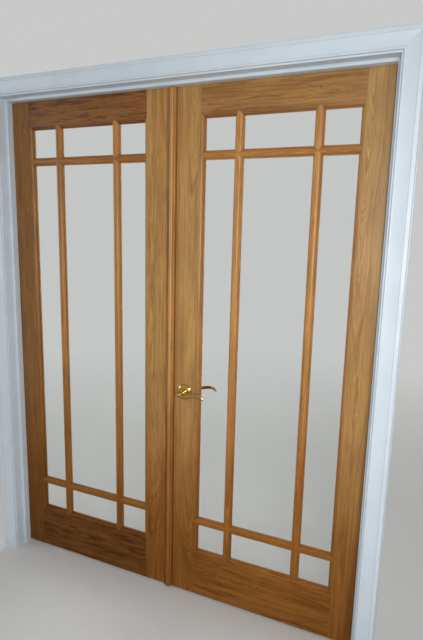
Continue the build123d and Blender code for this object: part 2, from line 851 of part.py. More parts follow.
def build():
    """Every node of the doors, by name."""
    timber = leaf_timber()
    nodes = frame_pieces()
    nodes.update(hung_leaf("left", dict(timber)))
    nodes.update(hung_leaf("right", dict(timber)))
    pins = []
    for height in hinge_heights.values():
        place = Pos(pin_x, pin_y, height)
        nodes["left_jamb"] = nodes["left_jamb"] - place * hinge_blank(-1)
        nodes["right_jamb"] = nodes["right_jamb"] - flipped(place * hinge_blank(-1))
        pins.append(place * hinge_pin())
        pins.append(flipped(place * hinge_pin()))
    nodes["hinge_pins"] = pins
    nodes["head_jamb"] = nodes["head_jamb"] - head_cuts()
    nodes["head_strike_plate"] = head_plate()
    nodes["astragal"] = meeting_strip()
    nodes["latch_strike_plate"] = keeper_blank() - keeper_room(latch_plate_thick)
    nodes["flush_bolt_case"] = flush_case()
    nodes["flush_bolt_rod"] = flush_rod()
    nodes["right_meeting_stile"] = nodes["right_meeting_stile"] - stile_bores()
    nodes["latch_case"] = latch_housing()
    nodes["latch_bolt"] = latch_bolt()
    nodes["latch_hub"] = latch_hub()
    nodes["spindle"] = spindle()
    middle = Plane.XZ.offset(-leaf_mid_y)
    nodes["front_rosette"] = rosette()
    nodes["back_rosette"] = mirror(rosette(), about=middle)
    nodes["front_lever"] = lever()
    nodes["back_lever"] = mirror(lever(), about=middle)
    return nodes


def save(nodes):
    """Writes one file for each node."""
    os.makedirs("parts", exist_ok=True)
    for name, shape in nodes.items():
        pieces = shape if isinstance(shape, list) else [shape]
        solids = [solid for piece in pieces for solid in piece.solids()]
        whole = solids[0] if len(solids) == 1 else Compound(children=solids)
        export_step(whole, f"parts/{name}.step")


save(build())
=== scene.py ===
import math
from typing import NamedTuple

import bmesh
import bpy
from bpy.props import FloatProperty, FloatVectorProperty, PointerProperty
from mathutils import Matrix, Vector


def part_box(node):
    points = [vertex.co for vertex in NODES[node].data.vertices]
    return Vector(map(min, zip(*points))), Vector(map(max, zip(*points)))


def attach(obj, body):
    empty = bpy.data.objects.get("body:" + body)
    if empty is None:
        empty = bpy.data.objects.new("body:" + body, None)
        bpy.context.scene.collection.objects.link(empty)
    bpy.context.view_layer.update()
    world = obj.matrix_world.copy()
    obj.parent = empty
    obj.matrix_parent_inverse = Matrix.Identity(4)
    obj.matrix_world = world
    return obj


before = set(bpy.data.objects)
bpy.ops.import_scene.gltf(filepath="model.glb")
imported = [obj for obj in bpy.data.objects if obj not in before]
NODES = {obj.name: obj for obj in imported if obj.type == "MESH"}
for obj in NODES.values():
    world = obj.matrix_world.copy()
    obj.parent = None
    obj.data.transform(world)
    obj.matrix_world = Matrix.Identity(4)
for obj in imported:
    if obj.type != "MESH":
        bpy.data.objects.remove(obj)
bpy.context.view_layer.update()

bl_info = {
    "name": "French Doors",
    "version": (1, 0, 0),
    "blender": (4, 5, 0),
    "location": "3D View > Sidebar > Doors",
    "description": "Finishes, screws and a studio for a pair of pine french doors in a painted frame",
    "category": "Object",
}

MM = 0.001


def corners(node):
    """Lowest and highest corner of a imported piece."""
    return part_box(node)


# The two faces of the closed leaves along Y
LEAF_FRONT = 0.0
LEAF_BACK = corners("left_hinge_stile")[1].y
# How a piece is turned, so that its own Z runs the way its wood grows or its brush strokes go
UPRIGHT = (0.0, 0.0, 0.0)
LEVEL = (0.0, math.radians(90), 0.0)
X, Y, Z = range(3)


# Settings

class TimberSettings(bpy.types.PropertyGroup):
    """Stained and varnished pine."""

    pale: FloatVectorProperty(
        name="Early wood",
        description="Colour of the soft pale wood between the rings",
        subtype="COLOR",
        default=(0.475, 0.277, 0.088),
    )
    dark: FloatVectorProperty(
        name="Late wood",
        description="Colour of the hard dark rings",
        subtype="COLOR",
        default=(0.205, 0.077, 0.015),
    )
    knot: FloatVectorProperty(
        name="Knots",
        description="Colour of the heart of a knot",
        subtype="COLOR",
        default=(0.13, 0.045, 0.012),
    )
    stain: FloatVectorProperty(
        name="Stained moulding",
        description="What the stain does to the mouldings and bars, where more of it is taken up",
        subtype="COLOR",
        default=(0.93, 0.645, 0.35),
    )
    ring: FloatProperty(
        name="Ring spacing",
        description="Mean distance between two growth rings",
        subtype="DISTANCE",
        unit="LENGTH",
        default=0.0052,
    )
    wander: FloatProperty(
        name="Wander",
        description="How far the heart of the trunk strays along a board",
        subtype="DISTANCE",
        unit="LENGTH",
        default=0.05,
    )
    figure: FloatProperty(
        name="Figure",
        description="How strongly the rings show",
        subtype="FACTOR",
        min=0.0,
        max=1.0,
        default=0.6,
    )
    varnish: FloatProperty(
        name="Varnish roughness",
        description="How dull the varnish is",
        subtype="FACTOR",
        min=0.0,
        max=1.0,
        default=0.36,
    )
    # Below this: duller varnish from wear, and darker, more stained wood that is painted shade
    wear_and_shade_height: FloatProperty(
        name="Worn height",
        description="Height below which feet and mops have dulled and darkened the varnish",
        subtype="DISTANCE",
        unit="LENGTH",
        default=1.05,
    )


class PaintSettings(bpy.types.PropertyGroup):
    """Brushed white paint of the frame."""

    # Set blue-grey rather than white: painted cool light and shade on white paint
    colour: FloatVectorProperty(
        name="Paint",
        description="Colour of the paint",
        subtype="COLOR",
        default=(0.56, 0.63, 0.69),
    )
    scuff: FloatVectorProperty(
        name="Scuffs",
        description="Colour of the scuffs near the floor",
        subtype="COLOR",
        default=(0.33, 0.33, 0.32),
    )
    gloss: FloatProperty(
        name="Paint roughness",
        description="How dull the paint is",
        subtype="FACTOR",
        min=0.0,
        max=1.0,
        default=0.38,
    )


class GlassSettings(bpy.types.PropertyGroup):
    """Clear float glass."""

    tint: FloatVectorProperty(
        name="Glass",
        description="Colour of the glass",
        subtype="COLOR",
        default=(0.95, 0.975, 0.965),
    )
    shade: FloatVectorProperty(
        name="Light through it",
        description="Colour of the lamp light that the glass lets through",
        subtype="COLOR",
        default=(0.93, 0.95, 0.94),
    )
    smear: FloatProperty(
        name="Smears",
        description="Roughness of the smears on the glass",
        subtype="FACTOR",
        min=0.0,
        max=1.0,
        default=0.035,
    )


class MetalSettings(bpy.types.PropertyGroup):
    """Brass furniture and steel works."""

    # Set darker than clean polished brass: painted shade for the dark surroundings it mirrors
    brass: FloatVectorProperty(
        name="Brass",
        description="Colour of polished brass",
        subtype="COLOR",
        default=(0.52, 0.335, 0.105),
    )
    steel: FloatVectorProperty(
        name="Plated steel",
        description="Colour of zinc-plated steel",
        subtype="COLOR",
        default=(0.55, 0.56, 0.58),
    )


class ScrewSettings(bpy.types.PropertyGroup):
    """Countersunk screws with a cross recess."""

    hinge_head: FloatProperty(
        name="Hinge screw head",
        description="Radius of a hinge screw's head",
        subtype="DISTANCE",
        unit="LENGTH",
        default=0.0042,
    )
    plate_head: FloatProperty(
        name="Plate screw head",
        description="Radius of the head of a screw in the latch, strike and bolt plates",
        subtype="DISTANCE",
        unit="LENGTH",
        default=0.0034,
    )
    recess: FloatProperty(
        name="Recess depth",
        description="Depth of the cross recess as a share of the head's radius",
        subtype="FACTOR",
        default=0.28,
    )


class StageSettings(bpy.types.PropertyGroup):
    """Floor, lamps and camera."""

    floor: FloatVectorProperty(
        name="Floor",
        description="Colour of the floor",
        subtype="COLOR",
        default=(0.6, 0.6, 0.59),
    )
    floor_near: FloatProperty(
        name="Fade from",
        description="Distance from the doors at which the floor starts to fade into the backdrop",
        subtype="DISTANCE",
        unit="LENGTH",
        default=1.2,
    )
    floor_far: FloatProperty(
        name="Fade to",
        description="Distance from the doors at which only the backdrop is left",
        subtype="DISTANCE",
        unit="LENGTH",
        default=4.6,
    )
    backdrop: FloatVectorProperty(
        name="Backdrop",
        description="Colour seen behind the doors",
        subtype="COLOR",
        default=(0.58, 0.58, 0.575),
    )
    eye: FloatVectorProperty(
        name="Camera place",
        description="Where the camera stands",
        subtype="TRANSLATION",
        unit="LENGTH",
        default=(0.9184, -1.7188, 1.5232),
    )
    aim: FloatVectorProperty(
        name="Camera turn",
        description="Pitch, roll and yaw of the camera",
        subtype="EULER",
        unit="ROTATION",
        default=(math.radians(-10.06), math.radians(-1.37), math.radians(23.46)),
    )
    lens: FloatProperty(
        name="Lens",
        description="Focal length in millimetres, for a sensor 36 mm on its long side",
        default=28.22,
    )
    world: FloatProperty(
        name="Room light",
        description="Strength of the soft light from overhead",
        default=0.36,
    )
    low_world: FloatProperty(
        name="Low light",
        description="Strength of the soft light from the sides and below",
        default=0.13,
    )
    key: FloatProperty(
        name="Main light",
        description="Power of the large lamp beside the camera",
        subtype="POWER",
        unit="POWER",
        default=21.0,
    )
    near: FloatProperty(
        name="Near light",
        description="Power of the small lamp close to the camera",
        subtype="POWER",
        unit="POWER",
        default=9.0,
    )
    fill: FloatProperty(
        name="Fill light",
        description="Power of the softer lamp at the side",
        subtype="POWER",
        unit="POWER",
        default=30.0,
    )
    back: FloatProperty(
        name="Back light",
        description="Power of the lamp on the side that the leaves open to",
        subtype="POWER",
        unit="POWER",
        default=75.0,
    )


class DoorSettings(bpy.types.PropertyGroup):
    """Everything that a user would change."""

    timber: PointerProperty(type=TimberSettings)
    paint: PointerProperty(type=PaintSettings)
    glass: PointerProperty(type=GlassSettings)
    metal: PointerProperty(type=MetalSettings)
    screws: PointerProperty(type=ScrewSettings)
    stage: PointerProperty(type=StageSettings)


# Shader nodes

# Places of the sockets that share a name with others
MIX_FIRST = 6
MIX_SECOND = 7
MIX_RESULT = 2
VECTOR_SCALE = 3

EDGE_SAMPLES = 4


class Pattern(NamedTuple):
    """A noise: its features to a metre along each axis, its make-up, and the values that it is
    stretched between."""

    density: tuple
    detail: float = 2
    roughness: float = 0.5
    distortion: float = 0.0
    edges: tuple = (0.3, 0.7)


class Shading:
    """The node tree of a material or a world, with calls that add one node and return its output."""

    def __init__(self, owner, output="ShaderNodeOutputMaterial"):
        owner.use_nodes = True
        self.owner = owner
        self.tree = owner.node_tree
        self.tree.nodes.clear()
        self.out = self.tree.nodes.new(output)

    def node(self, kind, **settings):
        """A new node with its own settings, such as an operation."""
        made = self.tree.nodes.new(kind)
        for name, value in settings.items():
            setattr(made, name, value)
        return made

    def feed(self, socket, value):
        """Links an output to a socket, or sets the socket to a value."""
        if isinstance(value, bpy.types.NodeSocket):
            self.tree.links.new(value, socket)
        elif value is not None:
            socket.default_value = value

    def math(self, operation, first, second=None, third=None):
        """One sum on numbers."""
        made = self.node("ShaderNodeMath", operation=operation)
        for socket, value in zip(made.inputs, (first, second, third)):
            self.feed(socket, value)
        return made.outputs[0]

    def product(self, first, *others):
        """Several numbers multiplied in turn."""
        for value in others:
            first = self.math("MULTIPLY", first, value)
        return first

    def vector(self, operation, first, second=None, scale=None):
        """One sum on vectors or colours."""
        made = self.node("ShaderNodeVectorMath", operation=operation)
        self.feed(made.inputs[0], first)
        self.feed(made.inputs[1], second)
        self.feed(made.inputs[VECTOR_SCALE], scale)
        return made.outputs["Value" if operation == "LENGTH" else "Vector"]

    def place(self, vector, shift=(0, 0, 0), turn=(0, 0, 0), scale=(1, 1, 1)):
        """A point scaled, turned and shifted."""
        made = self.node("ShaderNodeMapping")
        self.feed(made.inputs["Vector"], vector)
        made.inputs["Location"].default_value = shift
        made.inputs["Rotation"].default_value = turn
        made.inputs["Scale"].default_value = scale
        return made.outputs[0]

    def noise(self, vector, pattern, output="Fac"):
        """A pattern's noise, from 0 to 1."""
        made = self.node("ShaderNodeTexNoise")
        self.feed(made.inputs["Vector"], self.place(vector, scale=pattern.density))
        made.inputs["Scale"].default_value = 1.0
        made.inputs["Detail"].default_value = pattern.detail
        made.inputs["Roughness"].default_value = pattern.roughness
        made.inputs["Distortion"].default_value = pattern.distortion
        return made.outputs[output]

    def span(self, value, low, high, to_low=0.0, to_high=1.0, smooth=True):
        """A value between two ends, moved to two others, and held there outside them."""
        made = self.node("ShaderNodeMapRange", interpolation_type="SMOOTHSTEP" if smooth else "LINEAR")
        for socket, number in zip(made.inputs, (value, low, high, to_low, to_high)):
            self.feed(socket, number)
        return made.outputs[0]

    def fade(self, share, full):
        """A factor that goes from 1 to its full value as a share goes from 0 to 1."""
        return self.span(share, 0.0, 1.0, 1.0, full, False)

    def mix(self, share, first, second, blend="MIX"):
        """Two colours mixed."""
        made = self.node("ShaderNodeMix", data_type="RGBA", blend_type=blend)
        self.feed(made.inputs["Factor"], share)
        self.feed(made.inputs[MIX_FIRST], colour(first))
        self.feed(made.inputs[MIX_SECOND], colour(second))
        return made.outputs[MIX_RESULT]

    def mix_surfaces(self, share, first, second):
        """Two surfaces, or two lights of the world, mixed."""
        made = self.node("ShaderNodeMixShader")
        for socket, value in zip(made.inputs, (share, first, second)):
            self.feed(socket, value)
        return made.outputs[0]

    def parts(self, vector):
        """The X, Y and Z of a vector."""
        made = self.node("ShaderNodeSeparateXYZ")
        self.feed(made.inputs[0], vector)
        return made.outputs

    def soft_edges(self, radius):
        """A normal that rounds sharp edges."""
        made = self.node("ShaderNodeBevel", samples=EDGE_SAMPLES)
        made.inputs["Radius"].default_value = radius
        return made.outputs[0]

    def bump(self, height, distance, strength, normal=None):
        """A normal that follows a height, laid over another normal."""
        made = self.node("ShaderNodeBump")
        self.feed(made.inputs["Height"], height)
        self.feed(made.inputs["Normal"], normal)
        made.inputs["Distance"].default_value = distance
        made.inputs["Strength"].default_value = strength
        return made.outputs[0]

    def object_point(self):
        """The point being shaded, in the piece's own axes."""
        return self.node("ShaderNodeTexCoord").outputs["Object"]

    def principled(self, **inputs):
        """The usual surface, with its inputs named by their labels."""
        made = self.node("ShaderNodeBsdfPrincipled")
        for name, value in inputs.items():
            self.feed(made.inputs[name.replace("_", " ")], colour(value))
        return made.outputs[0]

    def clear(self, tint):
        """Nothing but a tint."""
        made = self.node("ShaderNodeBsdfTransparent")
        self.feed(made.inputs["Color"], colour(tint))
        return made.outputs[0]

    def light(self, tint, strength=1.0):
        """Light from the world."""
        made = self.node("ShaderNodeBackground")
        self.feed(made.inputs["Color"], colour(tint))
        self.feed(made.inputs["Strength"], strength)
        return made.outputs[0]

    def finish(self, surface):
        """Ends the tree and returns its material or world."""
        self.feed(self.out.inputs["Surface"], surface)
        return self.owner


def colour(value):
    """A colour of three numbers gets its fourth, and anything else is left as it is."""
    if isinstance(value, bpy.types.NodeSocket) or value is None:
        return value
    if hasattr(value, "__len__") and len(value) == 3:
        return (*value, 1.0)
    return value


def material_tree(name):
    """The empty tree of a new material."""
    return Shading(bpy.data.materials.new(name))


# Timber

# Patterns in a board, whose Z is the way the wood grows
TRUNK_BEND = Pattern((4, 4, 1.3))
RIPPLE = Pattern((38, 38, 5), 3, 0.6)
STREAK = Pattern((85, 85, 1.8), 3, 0.6, edges=(0.4, 0.72))
BAND = Pattern((52, 52, 6), 3, 0.65, 0.6, (0.5, 0.66))
DASH = Pattern((190, 190, 11), 3, 0.6, edges=(0.52, 0.66))
FIBRE = Pattern((1100, 1100, 22))
BLOTCH = Pattern((11, 11, 3.5), 3, 0.6)
UPTAKE = Pattern((6, 6, 1.0))

# How the heart leans from the board, how far the rings ripple, how soon good and poor years follow each
# other, and how far they move a ring
NOISE_MIDDLE = (0.5, 0.5, 0.5)
LEAN = (math.radians(1.1), math.radians(0.4), 0)
RIPPLE_DEPTH = 5 * MM
YEARS_CHANGE = 75.0
UNEVEN_YEARS = 14 * MM
# Where within a ring the late wood starts and is full, where it is gone and was still full, and its share
# in the faintest ring
LATE_START = (0.2, 0.88)
LATE_END = (1.0, 0.93)
FAINTEST_RING = 0.3

# A knot is longer along the run than across it. Its reach, the swell round it and its edge are in sizes
# of the knot
KNOT_SHAPE = (1, 0, 0.45)
KNOT_REACH = 9.0
KNOT_SWELL = 4.5
KNOT_EDGE = (1.2, 0.5)
KNOT_SHARE = 0.7

# How strong the streaks are, how light and dark blotches and fibres go, and how much the uptake varies
STREAK_SHARE = 0.42
BLOTCH_SHADES = (0.84, 1.12)
FIBRE_SHADES = (0.94, 1.05)
STAIN_SPREAD = 0.15

# Height where wear and painted shade are full: darker, more stained wood (painted shade), duller varnish
# (wear)
WEAR_AND_SHADE_FULL = 0.05
LOW_PAINTED_SHADE = 0.64
LOW_PAINTED_STAIN = 1.1
WORN_ROUGHNESS = 0.1
WORN_SHINE = 0.1

# Painted shadow of the strip along its left root: how the line fades in before the root and out after it,
# how far back it goes from the front, and its shade
ROOT_LEFT = (-9 * MM, -1 * MM)
ROOT_RIGHT = (10 * MM, 6 * MM)
ROOT_DEPTH = (2 * MM, 0.5 * MM)
STRIP_SHADOW_SHADE = 0.6

# Depths between which the stain of the mouldings grows, from the front and from the back
MOULDING_DEPTH = (0.6 * MM, 4 * MM)
MOULDING_BACK = (0.4 * MM, 3 * MM)
MOULDING_SHARE = 0.7

# The surface of the varnish over the grain
FIBRE_ROUGHNESS = 0.12
BLOTCH_ROUGHNESS = 0.08
LATE_HEIGHT = 0.45
FIBRE_HEIGHT = 0.4
DASH_HEIGHT = -0.35
GRAIN_DEPTH = 0.12 * MM
GRAIN_STRENGTH = 0.5
VARNISH_SHINE = 0.38
TIMBER_EDGE = 0.7 * MM


class Looks(NamedTuple):
    """What sets a member apart: its tone and stain uptake, partly painted shade, and its share of dark
    dashes.
    """

    tone: float = 1.0
    uptake: float = 0.5
    dashes: float = 0.25


# For each member: its run, where the heart lies from its middle, and its looks in the left and right leaf
# The left leaf's members are mostly set darker and more stained than the right's: painted shade, the left
# leaf standing further from the light. The rest of the spread differs board to board.
MEMBERS = {
    "hinge_stile": (UPRIGHT, (0.012, 0.062), Looks(0.64, 0.7, 0.35), Looks(0.87, 0.0)),
    "meeting_stile": (UPRIGHT, (-0.016, 0.07), Looks(0.88, 0.2, 0.4), Looks(0.88, 0.08)),
    "top_rail": (LEVEL, (0.01, 0.05), Looks(0.55, 1.0, 1.0), Looks(0.76, 0.25, 0.45)),
    "bottom_rail": (LEVEL, (-0.02, 0.058), Looks(0.56, 0.95, 0.9), Looks(0.95, 0.0, 0.6)),
    "outer_bar": (UPRIGHT, (0.02, 0.08), Looks(0.85, 0.65), Looks(1.02, 0.5)),
    "inner_bar": (UPRIGHT, (-0.03, 0.07), Looks(0.91, 0.55), Looks(1.04, 0.45)),
    "upper_bar": (LEVEL, (0.03, 0.08), Looks(0.81, 0.85), Looks(0.95, 0.7)),
    "lower_bar": (LEVEL, (-0.02, 0.065), Looks(0.84, 0.85), Looks(0.96, 0.7)),
    "upright_beads": (UPRIGHT, (0.05, 0.08), Looks(), Looks()),
    "level_beads": (LEVEL, (0.05, 0.08), Looks(), Looks()),
}
STRIP_HEART = (0.03, 0.07)
STRIP_LOOKS = Looks(uptake=0.1)

# Small knots: where each lies across and along its board, and its size
KNOTS = {
    "right_top_rail": (((0.008, -0.14), 3 * MM),),
    "left_bottom_rail": (((-0.03, 0.12), 3 * MM),),
    "right_bottom_rail": (((0.01, -0.12), 3 * MM),),
    "left_hinge_stile": (((0.01, 0.55), 2.6 * MM),),
}

# Distances along the trunk that give each member wood of its own
NEXT_MEMBER = 1.4
NEXT_LEAF = 23.7
STRIP_SEED = 16.3


def knot(s, along, spot, size):
    """How far the rings swell round a small knot, and how much of a point lies in the knot itself."""
    apart = s.vector("SUBTRACT", along, (spot[0], 0, spot[1]))
    away = s.math("DIVIDE", s.vector("LENGTH", s.vector("MULTIPLY", apart, KNOT_SHAPE)), size)
    swell = s.math("MULTIPLY", s.span(away, KNOT_REACH, 0.0), KNOT_SWELL * size)
    return swell, s.span(away, *KNOT_EDGE)


def growth_rings(s, along, moved, settings, heart, knots):
    """Rings round a heart that lies beside the board: where the late wood is, and the knots."""
    stray = s.vector("SUBTRACT", s.noise(moved, TRUNK_BEND, "Color"), NOISE_MIDDLE)
    bend = s.vector("SCALE", stray, scale=settings.wander)
    leaning = s.place(along, shift=(*heart, 0), turn=LEAN)
    outward = s.vector("MULTIPLY", s.vector("ADD", leaning, bend), (1, 1, 0))
    ripple = s.math("MULTIPLY", s.noise(moved, RIPPLE), RIPPLE_DEPTH)
    reach = s.math("ADD", s.vector("LENGTH", outward), ripple)
    core = 0.0
    for spot, size in knots:
        swell, heartwood = knot(s, along, spot, size)
        reach = s.math("ADD", reach, swell)
        core = s.math("MAXIMUM", core, heartwood)
    years = s.node("ShaderNodeTexNoise", noise_dimensions="1D")
    s.feed(years.inputs["W"], s.math("MULTIPLY", reach, YEARS_CHANGE))
    uneven = s.math("MULTIPLY", years.outputs["Fac"], UNEVEN_YEARS)
    count = s.math("DIVIDE", s.math("ADD", reach, uneven), settings.ring)
    within = s.math("FRACT", count)
    chance = s.node("ShaderNodeTexWhiteNoise", noise_dimensions="1D")
    s.feed(chance.inputs["W"], s.math("FLOOR", count))
    weight = s.math("MULTIPLY_ADD", chance.outputs["Value"], 1 - FAINTEST_RING, FAINTEST_RING)
    late = s.product(s.span(within, *LATE_START), s.span(within, *LATE_END), weight)
    return late, core


def strip_shadow_line(s, across, depth, root):
    """The strip's painted shadow beside it, on the front of the wood."""
    left = s.span(across, root + ROOT_LEFT[0], root + ROOT_LEFT[1])
    right = s.span(across, root + ROOT_RIGHT[0], root + ROOT_RIGHT[1])
    return s.product(left, right, s.span(depth, *ROOT_DEPTH))


def pine(node, settings, run, heart, seed, looks, face=LEAF_FRONT, root=None):
    """Flat-sawn pine for one member: rings, streaks and fibres along the run, stained mouldings, and
    painted shade towards the bottom and beside the strip.
    """
    s = material_tree(f"pine_{node}")
    point = s.object_point()
    low, high = corners(node)
    along = s.place(s.vector("SUBTRACT", point, (low + high) / 2), turn=run)
    moved = s.vector("ADD", along, (0, 0, seed))
    late, core = growth_rings(s, along, moved, settings, heart, KNOTS.get(node, ()))
    streaked = s.span(s.noise(moved, STREAK), *STREAK.edges)
    dashed = s.span(s.noise(moved, DASH), *DASH.edges)
    banded = s.span(s.noise(moved, BAND), *BAND.edges)
    fibre = s.noise(moved, FIBRE)
    blotch = s.noise(moved, BLOTCH)
    across, depth, height_up = s.parts(point)
    # Towards the bottom: duller varnish (wear), darker and more stained wood (painted shade)
    wear_and_shade = s.span(height_up, settings.wear_and_shade_height, WEAR_AND_SHADE_FULL)

    wood = s.mix(s.math("MULTIPLY", late, settings.figure), settings.pale, settings.dark)
    for mark, share in ((streaked, STREAK_SHARE), (dashed, looks.dashes), (banded, looks.dashes)):
        wood = s.mix(s.math("MULTIPLY", mark, share), wood, settings.dark)
    wood = s.mix(s.math("MULTIPLY", core, KNOT_SHARE), wood, settings.knot)
    # The tone holds the left leaf's painted shade
    shade = s.product(
        s.span(blotch, *BLOTCH.edges, *BLOTCH_SHADES, False),
        looks.tone,
        s.span(fibre, *FIBRE.edges, *FIBRE_SHADES, False),
        s.fade(wear_and_shade, LOW_PAINTED_SHADE),
    )
    # Painted shadow of the strip on the wood beside its left root
    if root is not None:
        shade = s.math("MULTIPLY", shade, s.fade(strip_shadow_line(s, across, depth, root), STRIP_SHADOW_SHADE))
    wood = s.vector("SCALE", wood, scale=shade)

    sunk = s.product(
        s.span(depth, face + MOULDING_DEPTH[0], face + MOULDING_DEPTH[1], 0.0, MOULDING_SHARE),
        s.span(depth, LEAF_BACK - MOULDING_BACK[0], LEAF_BACK - MOULDING_BACK[1]),
    )
    least, most = looks.uptake - STAIN_SPREAD, looks.uptake + STAIN_SPREAD
    uptake = s.math("MAXIMUM", sunk, s.span(s.noise(moved, UPTAKE), *UPTAKE.edges, least, most, False))
    # More stain towards the bottom: painted shade
    uptake = s.math("MULTIPLY_ADD", wear_and_shade, LOW_PAINTED_STAIN, uptake)
    wood = s.mix(uptake, wood, s.mix(1.0, wood, settings.stain, "MULTIPLY"))

    rough = s.math("MULTIPLY_ADD", fibre, FIBRE_ROUGHNESS, settings.varnish - FIBRE_ROUGHNESS / 2)
    rough = s.math("MULTIPLY_ADD", s.span(blotch, *BLOTCH.edges), BLOTCH_ROUGHNESS, rough)
    rough = s.math("MULTIPLY_ADD", wear_and_shade, WORN_ROUGHNESS, rough)
    height = s.math("MULTIPLY_ADD", late, LATE_HEIGHT, s.math("MULTIPLY", fibre, FIBRE_HEIGHT))
    height = s.math("MULTIPLY_ADD", dashed, DASH_HEIGHT, height)
    surface = s.principled(
        Base_Color=wood,
        Roughness=rough,
        Specular_IOR_Level=s.span(wear_and_shade, 0.0, 1.0, VARNISH_SHINE, WORN_SHINE),
        Normal=s.bump(height, GRAIN_DEPTH, GRAIN_STRENGTH, s.soft_edges(TIMBER_EDGE)),
    )
    return s.finish(surface)


# Paint

BRUSH = Pattern((420, 420, 9), edges=(0.25, 0.75))
UNEVEN_COAT = Pattern((7, 7, 7))
SCUFF = Pattern((60, 60, 22), 4, 0.7, edges=(0.56, 0.72))
COAT_SHADES = (0.95, 1.03)
# Heights at which the scuffs start and are at their worst
SCUFF_HEIGHTS = (0.22, 0.02)
SCUFF_SHARE = 0.35
# How far the brush marks move the roughness either way
GLOSSIER = 0.06
DULLER = 0.08
BRUSH_DEPTH = 0.15 * MM
BRUSH_STRENGTH = 0.4
PAINT_EDGE = 0.8 * MM


def brushed_paint(name, settings, run):
    """White gloss paint laid on with a brush along the run, a little scuffed near the floor."""
    s = material_tree(name)
    point = s.object_point()
    along = s.place(point, turn=run)
    marks = s.noise(along, BRUSH)
    tint = s.span(s.noise(along, UNEVEN_COAT), *UNEVEN_COAT.edges, *COAT_SHADES, False)
    coat = s.vector("SCALE", tuple(settings.colour), scale=tint)
    low_down = s.span(s.parts(point)[Z], *SCUFF_HEIGHTS)
    scuffed = s.product(s.span(s.noise(point, SCUFF), *SCUFF.edges), low_down, SCUFF_SHARE)
    least, most = settings.gloss - GLOSSIER, settings.gloss + DULLER
    surface = s.principled(
        Base_Color=s.mix(scuffed, coat, settings.scuff),
        Roughness=s.span(marks, *BRUSH.edges, least, most, False),
        Normal=s.bump(marks, BRUSH_DEPTH, BRUSH_STRENGTH, s.soft_edges(PAINT_EDGE)),
    )
    return s.finish(surface)


# Glass

WAVE = Pattern((3, 3, 1.2), 1)
SMEAR = Pattern((14, 14, 5), 4, 0.65, edges=(0.5, 0.8))
GLASS_INDEX = 1.5
WAVE_DEPTH = 0.4 * MM
WAVE_STRENGTH = 0.1


def window_glass(name, settings):
    """Clear float glass, a little smeared and not quite flat, that lets lamp light through."""
    s = material_tree(name)
    point = s.object_point()
    pane = s.principled(
        Base_Color=settings.tint,
        Roughness=s.span(s.noise(point, SMEAR), *SMEAR.edges, 0.0, settings.smear),
        IOR=GLASS_INDEX,
        Transmission_Weight=1.0,
        Normal=s.bump(s.noise(point, WAVE), WAVE_DEPTH, WAVE_STRENGTH),
    )
    to_lamp = s.node("ShaderNodeLightPath").outputs["Is Shadow Ray"]
    return s.finish(s.mix_surfaces(to_lamp, pane, s.clear(settings.shade)))


# Metal

HAND_MARKS = Pattern((60, 60, 60), 4, 0.6, edges=(0.35, 0.75))
SCRATCH = Pattern((300, 300, 2400), 1)
TARNISH_EDGES = (0.3, 0.8)
TARNISH_SHADE = 0.86
SCRATCH_DEPTH = 0.02 * MM
SCRATCH_STRENGTH = 0.3
METAL_EDGE = 0.3 * MM

# Roughness of the clean metal, and what the marks add to it
BRASS_POLISH = (0.05, 0.12)
STEEL_POLISH = (0.28, 0.2)

# Pieces of steel, and how the names of the brass pieces start or end
STEEL_NODES = ("spindle", "latch_hub")
BRASS_STARTS = (
    "front_rosette",
    "back_rosette",
    "front_lever",
    "back_lever",
    "latch_",
    "flush_bolt_",
    "head_strike_plate",
    "hinge_pins",
)
BRASS_ENDS = ("_hinge_jamb_leaf", "_hinge_door_leaf")


def handled_metal(name, tint, rough, smear):
    """Metal with the faint marks of hands and cloths in its polish."""
    s = material_tree(name)
    point = s.object_point()
    marks = s.noise(point, HAND_MARKS)
    tarnish = s.span(marks, *TARNISH_EDGES, 1.0, TARNISH_SHADE, False)
    scratches = s.noise(point, SCRATCH)
    surface = s.principled(
        Base_Color=s.vector("SCALE", tuple(tint), scale=tarnish),
        Metallic=1.0,
        Roughness=s.span(marks, *HAND_MARKS.edges, rough, rough + smear, False),
        Normal=s.bump(scratches, SCRATCH_DEPTH, SCRATCH_STRENGTH, s.soft_edges(METAL_EDGE)),
    )
    return s.finish(surface)


def dress(node, finish):
    """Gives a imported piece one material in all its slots."""
    for place in NODES[node].material_slots:
        place.link = "OBJECT"
        place.material = finish


# Screws

HEAD_SIDES = 28
RIM_DROP = 0.12 * MM
# Parts of a countersunk head as shares of its radius: its flat, its neck and how far down that is, and
# the reach and half width of the cross at its mouth and at its floor
FLAT = 0.94
NECK = 0.55
NECK_DEPTH = 0.45
CROSS_MOUTH = (0.6, 0.12)
CROSS_FLOOR = (0.3, 0.07)

# Distances between the screws of a hinge, from its pin back to them, from the pin across to a plate, and
# from the end of a small plate to its screw
HINGE_SCREW_PITCH = 34 * MM
HINGE_SCREW_DEEP = 29.2 * MM
HINGE_SCREW_SHALLOW = 15.2 * MM
HINGE_HALF_GAP = 1.5 * MM
PLATE_SCREW_INSET = 6.5 * MM

# Degrees that a screw is turned further than the one before it, and for each letter in a name
HINGE_SCREW_TURN = (37, 20)
PLATE_SCREW_TURN = (55, 13)

# Each small plate with screws: the axis it lies along, the way it faces and the body it rides on
PLATES = (
    ("latch_case", Z, (-1, 0, 0), "right_leaf"),
    ("latch_strike_plate", Z, (1, 0, 0), "left_leaf"),
    ("flush_bolt_case", Z, (1, 0, 0), "left_leaf"),
    ("head_strike_plate", X, (0, 0, -1), "frame"),
)


def ring_of(points, size, height):
    """Points in a plane, made larger and lifted to a height."""
    return [(size * x, size * y, height) for x, y in points]


